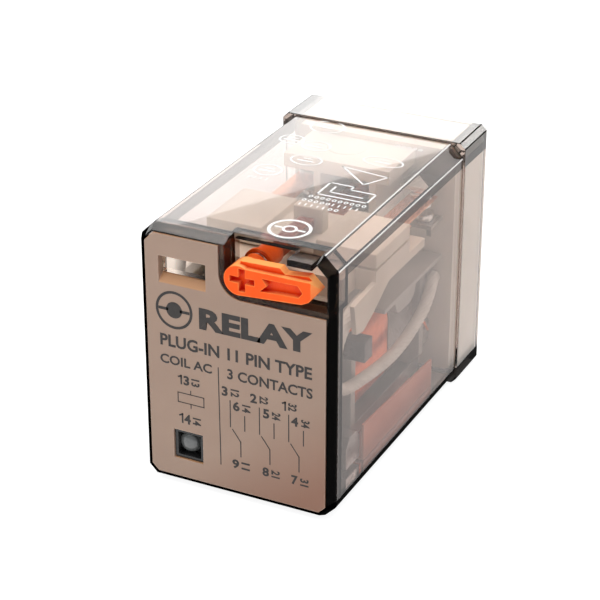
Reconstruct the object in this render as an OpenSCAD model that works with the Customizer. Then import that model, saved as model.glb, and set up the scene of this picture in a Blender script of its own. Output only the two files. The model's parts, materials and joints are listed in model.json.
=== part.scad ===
// Plug in relay with three changeover contacts, a clear cover and a push test lever.
// X is the width, Y the depth and Z the height. The label faces -Y, the terminals point to +Y.
// The origin is the centre of the rear face, which seats in the socket.

/* [Case] */
// Width over the seat collar
collar_w = 20.7; // [20.2:0.1:21.2]
// Height over the seat collar
collar_h = 27.7; // [27.5:0.1:28.2]
// Depth of the seat collar
collar_d = 6; // [5.2:0.1:6.4]
// How far the collar stands out from the case walls
collar_step = 0.2; // [0.1:0.05:0.3]
// Depth from the front rim to the seat
case_depth = 36.7; // [36.4:0.1:37.4]
// Thickness of the clear walls
wall = 0.6; // [0.5:0.05:0.7]
// Chamfer along the two top edges
top_chamfer = 1.4; // [1:0.1:1.8]
// Chamfer along the two bottom edges
low_chamfer = 1.1; // [0.8:0.1:1.4]
// Depth of the label plate in the rim
plate_t = 2; // [1.8:0.1:2.1]

/* [Test lever] */
// Sideways place of the lever's hub
hub_x = 0.75; // [0.5:0.05:1]
// Height of the lever's hub above the collar's underside
hub_h = 24; // [23.9:0.05:24.1]
// Radius of the lever's hub
hub_r = 1.5; // [1.4:0.05:1.5]
// How far the lever stands out of the rim
lever_proud = 0.5; // [0.3:0.1:0.7]
// Radius of the plunger behind the lever
plunger_r = 1.2; // [1.1:0.05:1.25]

/* [Contacts] */
// Distance between neighbouring poles
pole_pitch = 6.2; // [6:0.1:6.3]
// Radius of the contact rivets' heads
contact_r = 1.1; // [0.9:0.1:1.2]
// Thickness of a moving spring
spring_t = 0.2; // [0.15:0.05:0.25]
// Width of a moving spring
spring_w = 3.4; // [3:0.1:3.6]

/* [Terminals] */
// Width of a terminal blade
blade_w = 2.6; // [2.4:0.1:2.7]
// Thickness of a terminal blade
blade_t = 0.5; // [0.4:0.05:0.6]
// Length of a blade behind the seat
blade_out = 6; // [5:0.1:7]
// Radius of the solder eyelet
eyelet_r = 0.55; // [0.4:0.05:0.6]

/* [Coil] */
// Half of the copper winding's width
winding_half = 6.1; // [5.6:0.1:6.2]
// Radius of the iron core
core_r = 2.6; // [2.2:0.1:2.8]
// Diameter of a flexible lead
lead_d = 1.3; // [1:0.1:1.4]

/* [Hidden] */
$fn = 64;

// Fits: a snug clearance between still pieces, and a running one round moving pins
snug = 0.05;
running = 0.07;

// Every piece is drawn in the case frame: X, depth behind the front rim, height above the collar
half_w = collar_w / 2 - collar_step;
half_h = collar_h / 2 - collar_step;
mid_h = collar_h / 2;
ceiling_h = mid_h + half_h - wall;
floor_h = mid_h - half_h + wall;
collar_front = case_depth - collar_d;
collar_chamfer = 0.6;
thick_floor = 0.3;
rim_bevel_side = 0.45;
rim_bevel_depth = 0.95;

// Lever pocket
pocket_r = 1.65;
pocket_depth = plate_t + 1;
notch_right = 8.5;
pip_left = 5.5;
pip_right = 8;

// Windows in the label plate: left, right, lower and upper edges
flag_window = [-8, -3, 22.5, 24.5];
lamp_window = [-6.9, -3.7, 2.9, 6.1];
window_sill = 0.8;
window_recess = 0.8;

// Heights of the four rows of terminals, and the sideways places of the poles
rest_row = 22.1;
work_row = 18;
common_row = 12.1;
coil_row = 5.75;
poles = [-pole_pitch, 0, pole_pitch];

// Depths of the base and of the coil
base_front = collar_front + 0.1;
coil_h = 9;
bobbin_front = 10.2;
bobbin_back = 28.2;
flange_t = 1;
winding_high = 5.4;
winding_corner = 3;
tube_wall = 1;

// Armature: it rocks on a round bead at the yoke's front edge
pivot_d = 8.4;
pivot_h = 2.35;
bead_r = 0.45;
armature_front = 7.75;
armature_t = 1.1;
pole_gap = 0.45;

// Contacts: levels of the strips and springs
strip_t = 0.45;
spring_h = 21.65;
head_t = 0.6;
contact_d = 28.7;
work_contact_d = 29.3;
rest_gap = 0.02;
clamp_front = 11.2;
clamp_back = 19.2;
carrier_half = 9;
push_d = 14;
work_contact_h = 20.12;

// Route of the right flexible lead: depth, height and sideways place
side_lead = [
    [12, 18.65, 7.6], [8.8, 18.2, 7.6], [6, 16.7, 7.65], [4.6, 14.4, 7.7], [4.9, 12.2, 7.75],
    [7, 10.7, 7.75], [11, 9.8, 7.75], [15, 9.2, 7.75], [18.3, 8.95, 7.75],
    [21.2, 9.15, 7.75], [23.7, 9.65, 7.75], [25.8, 10.35, 7.75], [27.2, 11.3, 7.75],
    [28.4, 12.3, 7.65], [29.5, 12.7, 7.35], [30.4, 12.3, 7.15]
];
// Route of the middle flexible lead, which passes over the coil
middle_lead = [
    [12, 18.6, 0], [13.9, 17.7, 0], [16.8, 16.8, 0], [20.5, 16.3, 0], [24.5, 16.1, 0],
    [27.6, 16, 0], [29.4, 15.3, 0], [30, 14.3, 0], [30.05, 13.5, 0]
];
// Route of a coil lead wire
wire_route = [
    [28.4, 8.3, 5.4], [28.8, 8, 6.1], [29.3, 7.3, 6.6], [29.8, 6.6, 6.65], [30.3, 6, 6.65]
];
wire_d = 0.3;

// Moves a piece from the case frame to the part's own frame
module in_case() {
    translate([0, -case_depth, -collar_h / 2]) children();
}

// Extrudes an outline of X and height from one depth to another
module along_depth(from, to) {
    translate([0, to, 0]) rotate([90, 0, 0]) linear_extrude(to - from) children();
}

// Extrudes an outline of depth and height across the width, centred at x
module across(x, width) {
    translate([x - width / 2, 0, 0]) rotate([90, 0, 90]) linear_extrude(width) children();
}

// A box given by its left and right, its depths and its heights
module block(x, d, h) {
    translate([x[0], d[0], h[0]]) cube([x[1] - x[0], d[1] - d[0], h[1] - h[0]]);
}

// A cylinder along the depth
module rod(x, h, r, from, to) {
    translate([x, from, h]) rotate([-90, 0, 0]) cylinder(r = r, h = to - from);
}

// Rectangle about the case's middle with its own chamfers at the top and bottom corners
module chamfered(side, reach, upper, lower) {
    polygon([
        [-side + lower, mid_h - reach], [side - lower, mid_h - reach],
        [side, mid_h - reach + lower], [side, mid_h + reach - upper],
        [side - upper, mid_h + reach], [-side + upper, mid_h + reach],
        [-side, mid_h + reach - upper], [-side, mid_h - reach + lower]
    ]);
}

// Cross-section of the case, drawn in by an inset
module case_outline(inset) {
    loss = inset * (2 - sqrt(2));
    chamfered(half_w - inset, half_h - inset, top_chamfer - loss, low_chamfer - loss);
}

// Cross-section of the lever pocket: round at the hub, open to the right and the top
module pocket_outline(r) {
    reach = half_w - hub_x;
    translate([hub_x, hub_h]) {
        circle(r);
        translate([-r, 0]) square([r + reach, 6]);
        translate([0, -r]) square([reach, r + 6]);
    }
}

// Cuts the bevel round the front rim: one wedge for each of the case's eight sides
module rim_bevel() {
    top_diagonal = (half_w + half_h - top_chamfer) / sqrt(2);
    low_diagonal = (half_w + half_h - low_chamfer) / sqrt(2);
    sides = [
        [0, half_w], [180, half_w], [90, half_h], [270, half_h],
        [45, top_diagonal], [135, top_diagonal], [225, low_diagonal], [315, low_diagonal]
    ];
    for (side = sides)
        translate([0, 0, mid_h]) rotate([0, -side[0], 0]) translate([side[1], 0, -20])
            linear_extrude(40) polygon([
                [-rim_bevel_side, 0], [0, rim_bevel_depth], [1, rim_bevel_depth],
                [1, -1], [-rim_bevel_side, -1]
            ]);
}

// Outline of a coil section with rounded corners, grown by a step
module coil_outline(side, reach, corner, step) {
    translate([0, coil_h]) {
        square([2 * (side + step), 2 * (reach - corner)], center = true);
        square([2 * (side - corner), 2 * (reach + step)], center = true);
        for (x = [-1, 1], h = [-1, 1])
            translate([x * (side - corner), h * (reach - corner)]) circle(corner + step);
    }
}

// Thick corners inside the cover, ahead of the collar
module corner_ribs() {
    reach = 2.4;
    for (side = [-1, 1]) along_depth(22.8, base_front - 0.2) intersection() {
        case_outline(wall / 2);
        polygon([
            [side * half_w, mid_h + half_h - reach], [side * half_w, mid_h + half_h],
            [side * (half_w - reach), mid_h + half_h]
        ]);
    }
}

// The break-off pip over the lever's arm
module lock_pip() {
    block([pip_left, pip_right], [0, pocket_depth + wall / 2], [ceiling_h - wall, ceiling_h + snug]);
}

module cover() {
    notch_left = hub_x - pocket_r;
    color([0.62, 0.6, 0.58, 0.4]) in_case() {
        difference() {
            union() {
                difference() {
                    union() {
                        along_depth(0, case_depth) case_outline(0);
                        along_depth(collar_front, case_depth)
                            chamfered(collar_w / 2, collar_h / 2, collar_chamfer, collar_chamfer);
                    }
                    along_depth(-1, plate_t) case_outline(wall);
                    along_depth(plate_t + wall, case_depth + 1) case_outline(wall);
                }
                along_depth(0, pocket_depth + wall) intersection() {
                    case_outline(wall / 2);
                    pocket_outline(pocket_r + wall);
                }
                // Clear pane that fills the flag window, and the thick floor
                block(
                    [flag_window[0] + snug, flag_window[1] - snug],
                    [window_recess + snug, plate_t + wall / 2],
                    [flag_window[2] + snug, flag_window[3] - snug]
                );
                block(
                    [low_chamfer - half_w, half_w - low_chamfer],
                    [plate_t + wall / 2, base_front - 0.2], [floor_h - wall / 2, floor_h + thick_floor]
                );
                corner_ribs();
            }
            along_depth(-1, pocket_depth) intersection() {
                case_outline(wall);
                pocket_outline(pocket_r);
            }
            block([notch_left, notch_right], [-1, plate_t], [ceiling_h, collar_h + 1]);
            rod(hub_x, hub_h, plunger_r + running, -1, pocket_depth + 2);
            rim_bevel();
        }
        lock_pip();
    }
}

module label_plate() {
    face = wall + 0.1;
    color([0.9, 0.86, 0.8]) in_case() difference() {
        along_depth(0.05, plate_t) difference() {
            case_outline(face);
            pocket_outline(pocket_r + wall + 0.1);
        }
        block(
            [flag_window[0], flag_window[1]], [-1, plate_t + 1], [flag_window[2], flag_window[3]]
        );
        across((flag_window[0] + flag_window[1]) / 2, flag_window[1] - flag_window[0]) polygon([
            [0, flag_window[2] - window_sill], [window_recess, flag_window[2]],
            [window_recess, flag_window[3]], [0, flag_window[3]]
        ]);
        block([lamp_window[0], lamp_window[1]], [-1, plate_t + 1], [lamp_window[2], lamp_window[3]]);
    }
}

module lamp_surround() {
    edge = 0.35;
    color([0.16, 0.16, 0.17]) in_case() difference() {
        block(
            [lamp_window[0] + snug, lamp_window[1] - snug], [0.3, plate_t - snug],
            [lamp_window[2] + snug, lamp_window[3] - snug]
        );
        block(
            [lamp_window[0] + edge, lamp_window[1] - edge], [-1, 1.5],
            [lamp_window[2] + edge, lamp_window[3] - edge]
        );
    }
}

module indicator_lamp() {
    x = (lamp_window[0] + lamp_window[1]) / 2;
    h = (lamp_window[2] + lamp_window[3]) / 2;
    color([0.55, 0.56, 0.56]) in_case() {
        rod(x, h, 1.15, 1.2, 1.5);
        rod(x, h, 0.95, 0.85, 1.2);
    }
}

// Slot in the base for one blade
module blade_slot(x, row) {
    block(
        [x - blade_t / 2 - snug, x + blade_t / 2 + snug], [base_front - 1, case_depth + 1],
        [row - blade_w / 2 - snug, row + blade_w / 2 + snug]
    );
}

module base() {
    relief = 0.8;
    color([0.93, 0.9, 0.83]) in_case() difference() {
        union() {
            along_depth(base_front + 1.2, case_depth) case_outline(wall + snug);
            along_depth(base_front, base_front + 1.2) case_outline(wall + 0.6);
        }
        for (x = poles, row = [rest_row, work_row, common_row]) blade_slot(x, row);
        for (side = [-1, 1]) blade_slot(side * pole_pitch, coil_row);
        // Relief channels between the rows
        for (h = [(rest_row + work_row) / 2, (work_row + common_row) / 2, (common_row + coil_row) / 2])
            block([-8, 8], [case_depth - relief, case_depth + 1], [h - 0.3, h + 0.3]);
        // Key slot, so that the relay goes in one way only
        block([-1.2, 1.2], [case_depth - 1.5, case_depth + 1], [coil_row - 1.6, coil_row + 1.6]);
    }
}

module contact_separator() {
    color([0.94, 0.91, 0.83]) in_case() {
        block([-6.9, 4.9], [24, base_front], [24.3, 25.8]);
        // Low round boss on the block's top
        translate([-1.6, 28, 25.7]) cylinder(r = 2, h = 0.25);
        for (side = [-1, 1])
            block([side * pole_pitch / 2 - 0.4, side * pole_pitch / 2 + 0.4], [24, base_front],
                [16, 24.4]);
    }
}

// Outline of a coil flange
module flange_outline() {
    w = 7;
    r = 5.85;
    c = 1.2;
    polygon([
        [-w + c, coil_h - r], [w - c, coil_h - r], [w, coil_h - r + c], [w, coil_h + r - c],
        [w - c, coil_h + r], [-w + c, coil_h + r], [-w, coil_h + r - c], [-w, coil_h - r + c]
    ]);
}

module coil_bobbin() {
    color([0.78, 0.76, 0.72]) in_case() difference() {
        union() {
            along_depth(bobbin_front, bobbin_front + flange_t) flange_outline();
            along_depth(bobbin_back - flange_t, bobbin_back) flange_outline();
            along_depth(bobbin_front, bobbin_back)
                coil_outline(core_r + tube_wall + 0.5, core_r + tube_wall, 1.6, 0);
            // Roof over the winding, with a lobe under each side and two tails
            block([-7.9, 7.9], [16, bobbin_back], [14.6, 15.1]);
            for (side = [-1, 1]) {
                block(side > 0 ? [5.2, 7.9] : [-7.9, -5.2], [bobbin_back - 0.1, base_front - 0.2],
                    [14.6, 15.1]);
                across(side * 7.3, 1.2) polygon([
                    [18.6, 14.7], [18.9, 13.6], [19.5, 13.2], [22.4, 13.1], [23.4, 13.6],
                    [23.8, 14.7]
                ]);
            }
        }
        rod(0, coil_h, core_r + snug, 0, case_depth);
    }
}

// Dark block on the front flange's edge, which feeds the lamp
module lamp_circuit() {
    color([0.12, 0.14, 0.14]) in_case() {
        block([7, 9.3], [8.2, 9.9], [13.3, 15.5]);
        block([7, 7.8], [9.8, 11.1], [12.8, 13.6]);
    }
}

// A ring round the core between two radii and two depths
module coil_ring(inner, outer, from, to) {
    translate([0, from, coil_h]) rotate([-90, 0, 0]) rotate_extrude()
        translate([inner, 0]) square([outer - inner, to - from]);
}

module coil_winding() {
    color([0.72, 0.4, 0.26]) in_case()
        along_depth(bobbin_front + flange_t + snug, bobbin_back - flange_t - snug) difference() {
            coil_outline(winding_half, winding_high, winding_corner, 0);
            coil_outline(core_r + tube_wall + 0.5, core_r + tube_wall, 1.6, snug);
        }
}

module coil_tape() {
    color([0.5, 0.48, 0.46]) in_case()
        along_depth(20.8, bobbin_back - flange_t - 0.3) difference() {
            coil_outline(winding_half, winding_high, winding_corner, 0.12);
            coil_outline(winding_half, winding_high, winding_corner, 0.02);
        }
}

module coil_insulator() {
    side = 8.4;
    sheet = 0.25;
    low = floor_h + thick_floor + snug;
    back = 27.4;
    color([0.82, 0.5, 0.42]) in_case() {
        block([-side, side], [bobbin_front, back], [low, low + sheet]);
        // Sides that fall a little to the rear
        for (x = [sheet / 2 - side, side - sheet / 2]) across(x, sheet) polygon([
            [bobbin_front, low], [back, low], [back, 4.2], [bobbin_front, 5.2]
        ]);
    }
}

module core() {
    face = armature_front + armature_t + pole_gap;
    color([0.7, 0.7, 0.7]) in_case() difference() {
        union() {
            rod(0, coil_h, core_r, face, 29.5);
            rod(0, coil_h, core_r + 0.9, face, bobbin_front - snug);
            rod(0, coil_h, core_r - 0.6, 29.4, 29.7);
        }
        // Groove for the shading ring
        translate([0, face - 1, coil_h]) rotate([-90, 0, 0]) rotate_extrude()
            translate([1.55, 0]) square([0.8, 1.6]);
    }
}

module shading_ring() {
    face = armature_front + armature_t + pole_gap;
    color([0.8, 0.45, 0.28]) in_case() coil_ring(1.57, 2.33, face, face + 0.58);
}

module yoke() {
    low = 1.6;
    high = 3.1;
    back = bobbin_back + 0.1;
    color([0.66, 0.67, 0.68]) in_case() difference() {
        union() {
            block([-6, 6], [pivot_d, back + 1.2], [low, high]);
            block([-4.6, 4.6], [back, back + 1.2], [low, 12.8]);
            // Ears beside the armature's foot
            for (side = [-1, 1]) {
                across(side * 7.15, 1.7) polygon([
                    [7, low], [10.15, low], [10.15, 4.1], [9.4, 4.9], [7.9, 4.9], [7, 3.9]
                ]);
                block(side > 0 ? [5.9, 6.4] : [-6.4, -5.9], [9.3, 10.15], [low, high]);
            }
        }
        rod(0, coil_h, core_r + snug, back - 1, back + 3);
        // Round seat for the armature's bead
        translate([-7, pivot_d, pivot_h]) rotate([0, 90, 0]) cylinder(r = bead_r + 0.05, h = 14);
    }
}

module return_spring() {
    sheet = 0.13;
    low = floor_h + 0.63;
    color([0.8, 0.8, 0.78]) in_case() across(0, 5) polygon([
        [7.3, low], [14, low], [14, low + sheet], [7.3 + sheet, low + sheet],
        [7.3 + sheet, 6.5], [7.3, 6.5]
    ]);
}

// A terminal blade from a depth inside the case to its tapered tip; its top may reach further in
module blade(x, row, from, top_from) {
    tip = case_depth + blade_out;
    neck = row + blade_w / 2 - strip_t;
    across(x, blade_t) difference() {
        polygon([
            [from, row - blade_w / 2], [tip - 1.3, row - blade_w / 2], [tip, row - 0.6],
            [tip, row + 0.6], [tip - 1.3, row + blade_w / 2], [top_from, row + blade_w / 2],
            [top_from, neck], [from, neck]
        ]);
        translate([case_depth + 2.6, row]) circle(eyelet_r);
    }
}

// A fixed terminal: a blade folded at its top edge into a strip that reaches over the contact
module fixed_terminal(pole, row, reach) {
    x = poles[pole - 1];
    top = row + blade_w / 2;
    color([0.78, 0.76, 0.7]) in_case() {
        blade(x, row, base_front + 0.1, 29.8);
        block([x - 1.5, x + 1.5], [reach, base_front - snug], [top - strip_t, top]);
    }
}

module rest_terminal(pole) {
    fixed_terminal(pole, rest_row, contact_d - 1.4);
}

module work_terminal(pole) {
    fixed_terminal(pole, work_row, work_contact_d - 1.5);
}

module common_terminal(pole) {
    color([0.78, 0.76, 0.7]) in_case() {
        from = pole == 2 ? 29.8 : 28.6;
        blade(poles[pole - 1], common_row, from, from);
    }
}

module coil_terminal(side) {
    color([0.78, 0.76, 0.7]) in_case() blade(side * pole_pitch, coil_row, 29.3, 29.3);
}

// A contact rivet's head
module contact_head(x, d, low, high) {
    translate([x, d, low]) cylinder(r = contact_r, h = high - low);
}

module rest_contacts() {
    low = spring_h + spring_t + head_t + rest_gap;
    color([0.86, 0.85, 0.82]) in_case() for (x = poles)
        contact_head(x, contact_d, low, rest_row + blade_w / 2 - strip_t);
}

module work_contacts() {
    color([0.86, 0.85, 0.82]) in_case() for (x = poles)
        contact_head(x, work_contact_d, work_row + blade_w / 2, work_contact_h);
}

// A round cable swept along a route, given as depth, height and sideways place
function smooth(route, t) =
    let(
        last = len(route) - 1,
        i = min(floor(t), last - 1),
        u = t - i,
        a = route[max(i - 1, 0)],
        b = route[i],
        c = route[i + 1],
        d = route[min(i + 2, last)]
    )
    0.5 * (2 * b + (c - a) * u + (2 * a - 5 * b + 4 * c - d) * u * u
        + (3 * b - a - 3 * c + d) * u * u * u);

module cable(route, mirrored, diameter, steps, sides) {
    count = (len(route) - 1) * steps;
    path = [for (i = [0:count]) let(p = smooth(route, i / steps)) [mirrored * p[2], p[0], p[1]]];
    rings = [for (i = [0:count])
        let(
            along = path[min(i + 1, count)] - path[max(i - 1, 0)],
            forward = along / norm(along),
            across_x = cross(forward, [1, 0, 0]),
            up = across_x / norm(across_x),
            aside = cross(up, forward)
        )
        for (k = [0:sides - 1])
            path[i] + diameter / 2 * (cos(360 * k / sides) * aside + sin(360 * k / sides) * up)
    ];
    walls = [for (i = [0:count - 1], k = [0:sides - 1])
        let(n = (k + 1) % sides)
        [i * sides + k, i * sides + n, (i + 1) * sides + n, (i + 1) * sides + k]
    ];
    first = [for (k = [sides - 1:-1:0]) k];
    end = [for (k = [0:sides - 1]) count * sides + k];
    polyhedron(points = rings, faces = concat(walls, [first, end]));
}

module coil_leads() {
    color([0.75, 0.42, 0.28]) in_case() for (side = [-1, 1]) cable(wire_route, side, wire_d, 3, 6);
}

module flexible_lead(pole) {
    color([0.85, 0.83, 0.78]) in_case() {
        if (pole == 2) cable(middle_lead, 1, lead_d, 3, 8);
        else cable(side_lead, pole - 2, lead_d, 3, 8);
    }
}

module armature() {
    color([0.68, 0.69, 0.7]) in_case() {
        difference() {
            block([-6, 6], [armature_front, armature_front + armature_t], [3.3, 16.6]);
            for (x = [-3, 3]) rod(x, 14, 0.65, 0, 20);
        }
        block([-5, 5], [armature_front, pivot_d - 0.1], [pivot_h, 3.4]);
        translate([-5, pivot_d, pivot_h]) rotate([0, 90, 0]) cylinder(r = bead_r, h = 10);
    }
}

module armature_rivets() {
    color([0.8, 0.8, 0.8]) in_case() for (x = [-3, 3]) {
        rod(x, 14, 0.6, 6, armature_front + armature_t);
        rod(x, 14, 1.1, 5.7, 6.2);
    }
}

module contact_carrier() {
    bridge = 8.37;
    color([0.9, 0.85, 0.75]) in_case() difference() {
        union() {
            // Apron in front of the armature, and the block over its top edge
            block([-6.8, 6.8], [6.2, armature_front], [11.5, 17]);
            block([-6.8, 6.8], [6.2, 9.5], [16.65, 19.5]);
            // Bridge to the bed under the moving springs, and the bed's thin tail
            block([-6.8, 6.8], [bridge, clamp_front + 0.1], [19.4, spring_h]);
            block([-carrier_half, carrier_half], [clamp_front, clamp_back], [19.4, spring_h]);
            block([-carrier_half, carrier_half], [clamp_back - 0.1, 23], [19.4, 20.3]);
            // Cheeks in front of the bed
            for (side = [-1, 1]) across(side * (carrier_half - 0.25), 0.5) polygon([
                [6.3, 20.1], [6.9, 16.9], [8.4, 16.6], [10.7, 17.5], [14.5, 19.5], [14.5, 20.5],
                [clamp_front, 20.5]
            ]);
        }
        for (x = [-3, 3]) rod(x, 14, 0.65, 0, 12);
    }
}

module spring_clamp() {
    low = spring_h + spring_t;
    inner = 2.9;
    color([0.86, 0.8, 0.7]) in_case() {
        block([-carrier_half, carrier_half], [clamp_front, clamp_back], [low, low + 0.7]);
        for (side = [-1, 1]) block(
            side > 0 ? [inner, carrier_half] : [-carrier_half, -inner],
            [clamp_front, clamp_back], [low + 0.6, low + 1.55]
        );
        // Upright that the plunger pushes
        block([hub_x - 1.6, hub_x + 1.6], [push_d, push_d + 1.4], [low + 0.6, 25.2]);
    }
}

// Slanted plate, which catches the light from above
module indicator_flag() {
    color([0.95, 0.92, 0.85]) in_case() {
        across(-8.2, 2.5) polygon([[3, 20.4], [3.6, 20.4], [4.9, 25], [4.3, 25]]);
        block([-8.3, -7.4], [3.5, clamp_front], [20.4, 21.5]);
    }
}

module moving_spring(pole) {
    x = poles[pole - 1];
    color([0.74, 0.6, 0.42]) in_case() difference() {
        union() {
            block([x - spring_w / 2, x + spring_w / 2], [12.7, 22], [spring_h, spring_h + spring_t]);
            block([x - 1.25, x + 1.25], [21.9, 29.85], [spring_h, spring_h + spring_t]);
        }
        translate([x, contact_d, spring_h - 1]) cylinder(r = 0.55, h = 3);
    }
}

module moving_contact(pole) {
    x = poles[pole - 1];
    color([0.86, 0.85, 0.82]) in_case() {
        contact_head(x, contact_d, spring_h - head_t, spring_h);
        contact_head(x, contact_d, spring_h + spring_t, spring_h + spring_t + head_t);
        translate([x, contact_d, spring_h - 0.1]) cylinder(r = 0.5, h = spring_t + 0.2);
    }
}

// The arm of the lever, seen from the front: straight below, arrow-shaped at its tip
module lever_arm() {
    polygon([
        [hub_x, hub_h - hub_r], [7.2, 22.95], [7.9, 23.3], [8.9, 24.5], [7.7, 25.65],
        [5.3, 25.4], [4.8, 25.9], [hub_x, hub_h + hub_r + 0.3]
    ]);
}

module test_lever() {
    front = -lever_proud;
    color([1, 0.42, 0.1]) in_case() difference() {
        union() {
            rod(hub_x, hub_h, hub_r, front, 1.7);
            along_depth(front, 0.95) intersection() {
                lever_arm();
                translate([hub_x, hub_h - 2]) square([9, 3.3]);
            }
            along_depth(0, 0.95) lever_arm();
        }
        // Cross recess in the hub
        for (turn = [0, 90])
            translate([hub_x, front + 0.3, hub_h]) rotate([0, turn, 0]) cube([2.3, 0.7, 0.6], center = true);
        // Channel along the arm
        along_depth(front - 1, front + 0.55)
            polygon([[3, 23.4], [6.9, 23.6], [7.3, 24.1], [6.8, 24.75], [3.2, 24.7], [3.7, 24.05]]);
        // Bevels of the arrow tip
        translate([8.9, front, 24.5]) rotate([0, 0, 45]) cube([1.1, 1.1, 6], center = true);
    }
}

module test_plunger() {
    color([1, 0.5, 0.2]) in_case() {
        rod(hub_x, hub_h, plunger_r, 1.7, 6.6);
        rod(hub_x, hub_h, plunger_r + 0.3, pocket_depth + wall + snug, pocket_depth + wall + 0.5);
        // Tongue that reaches the clamp's upright
        block([hub_x - 0.8, hub_x + 0.8], [6.5, push_d - 0.12], [hub_h - 0.7, hub_h + 0.2]);
    }
}

cover();
label_plate();
lamp_surround();
indicator_lamp();
base();
contact_separator();
coil_bobbin();
coil_winding();
coil_tape();
coil_insulator();
core();
shading_ring();
yoke();
return_spring();
lamp_circuit();
rest_terminal(1);  // rest_terminal_1
rest_terminal(2);  // rest_terminal_2
rest_terminal(3);  // rest_terminal_3
work_terminal(1);  // work_terminal_1
work_terminal(2);  // work_terminal_2
work_terminal(3);  // work_terminal_3
common_terminal(1);  // common_terminal_1
common_terminal(2);  // common_terminal_2
common_terminal(3);  // common_terminal_3
coil_terminal(-1);  // coil_terminal_1
coil_terminal(1);  // coil_terminal_2
rest_contacts();
work_contacts();
coil_leads();
flexible_lead(1);  // flexible_lead_1
flexible_lead(2);  // flexible_lead_2
flexible_lead(3);  // flexible_lead_3
armature();
armature_rivets();
contact_carrier();
spring_clamp();
indicator_flag();
moving_spring(1);  // moving_spring_1
moving_spring(2);  // moving_spring_2
moving_spring(3);  // moving_spring_3
moving_contact(1);  // moving_contact_1
moving_contact(2);  // moving_contact_2
moving_contact(3);  // moving_contact_3
test_lever();
test_plunger();
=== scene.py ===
"""Looks of the plug-in relay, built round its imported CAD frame. Lengths are in metres."""

import json
import math

import bmesh
import bpy
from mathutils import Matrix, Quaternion, Vector
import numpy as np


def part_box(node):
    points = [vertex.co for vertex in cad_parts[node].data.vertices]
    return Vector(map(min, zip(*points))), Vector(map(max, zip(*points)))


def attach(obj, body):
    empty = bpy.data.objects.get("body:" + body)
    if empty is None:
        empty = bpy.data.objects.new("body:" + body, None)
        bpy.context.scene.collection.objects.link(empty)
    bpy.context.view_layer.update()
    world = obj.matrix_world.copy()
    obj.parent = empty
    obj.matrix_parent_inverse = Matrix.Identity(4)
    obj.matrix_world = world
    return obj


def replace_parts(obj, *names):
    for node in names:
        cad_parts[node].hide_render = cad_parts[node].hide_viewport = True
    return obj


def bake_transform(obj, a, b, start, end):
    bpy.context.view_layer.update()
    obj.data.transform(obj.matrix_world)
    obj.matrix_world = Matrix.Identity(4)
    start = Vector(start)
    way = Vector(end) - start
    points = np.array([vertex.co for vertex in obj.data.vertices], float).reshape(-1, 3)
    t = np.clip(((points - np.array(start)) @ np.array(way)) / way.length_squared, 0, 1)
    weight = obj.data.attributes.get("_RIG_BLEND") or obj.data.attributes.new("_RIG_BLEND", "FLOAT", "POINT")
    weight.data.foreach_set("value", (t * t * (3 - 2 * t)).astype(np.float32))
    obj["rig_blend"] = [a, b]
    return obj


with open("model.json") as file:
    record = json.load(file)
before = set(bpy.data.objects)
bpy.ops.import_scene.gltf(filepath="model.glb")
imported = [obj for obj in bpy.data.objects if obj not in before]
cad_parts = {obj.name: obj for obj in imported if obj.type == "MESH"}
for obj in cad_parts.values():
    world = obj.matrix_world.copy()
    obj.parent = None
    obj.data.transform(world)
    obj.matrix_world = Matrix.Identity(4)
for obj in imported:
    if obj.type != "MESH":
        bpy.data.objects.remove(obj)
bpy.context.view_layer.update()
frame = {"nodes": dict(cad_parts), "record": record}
nodes = frame["nodes"]

MM = 0.001
# The CAD's drawing frame: X, depth behind the front rim and height above the collar's underside
SEAT, MIDDLE = 36.7, 13.85
WINDOW_X, WINDOW_HEIGHT = (-9.2, -2.9), (21.2, 24.8)  # the flag's window in the front


def at(x, depth, height):
    """A point of the drawing frame, given in mm, in the row frame."""
    return Vector((x, depth - SEAT, height - MIDDLE)) * MM


def drawn(point):
    """A point of the row frame as x, depth and height in mm of the drawing frame."""
    return point.x / MM, point.y / MM + SEAT, point.z / MM + MIDDLE


def drawn_box(node):
    """A CAD node's lowest and highest x, depth and height, in mm."""
    return [drawn(corner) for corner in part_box(node)]


# ---------------------------------------------------------------- materials


def graph(name):
    """A new material, its emptied tree, and a function that adds a node to it with its inputs
    linked or set."""
    material = bpy.data.materials.new(name)
    material.use_nodes = True
    tree = material.node_tree
    tree.nodes.clear()

    def add(kind, **inputs):
        made = tree.nodes.new(kind)
        for key, value in inputs.items():
            socket = made.inputs[key.replace("_", " ")]
            if isinstance(value, bpy.types.NodeSocket):
                tree.links.new(value, socket)
            else:
                socket.default_value = value
        return made

    return material, tree, add


def shade(colour):
    """A colour with its alpha."""
    return (*colour, 1)


def pattern(add, size, detail=2.0, stretch=(1, 1, 1), rough=0.5):
    """Noise whose features are about size mm across, stretched along an axis if asked."""
    place = add("ShaderNodeTexCoord")
    turned = add("ShaderNodeMapping", Vector=place.outputs["Object"], Scale=stretch)
    return add(
        "ShaderNodeTexNoise", Vector=turned.outputs[0], Scale=1 / (size * MM), Detail=detail,
        Roughness=rough,
    ).outputs["Fac"]


def spread(add, value, low, high, start=0.3, end=0.7):
    """Moves the values from start to end to those from low to high."""
    return add(
        "ShaderNodeMapRange", Value=value, From_Min=start, From_Max=end, To_Min=low, To_Max=high
    ).outputs[0]


def calculated(tree, kind, operation, first, second):
    """A math or vector math node between a linked value and a second one, linked or constant."""
    node = tree.nodes.new(kind)
    node.operation = operation
    tree.links.new(first, node.inputs[0])
    if isinstance(second, bpy.types.NodeSocket):
        tree.links.new(second, node.inputs[1])
    else:
        node.inputs[1].default_value = second
    return node.outputs["Value"]


def dot_product(tree, first, second):
    """How far a linked vector points along a second one."""
    return calculated(tree, "ShaderNodeVectorMath", "DOT_PRODUCT", first, second)


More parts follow.
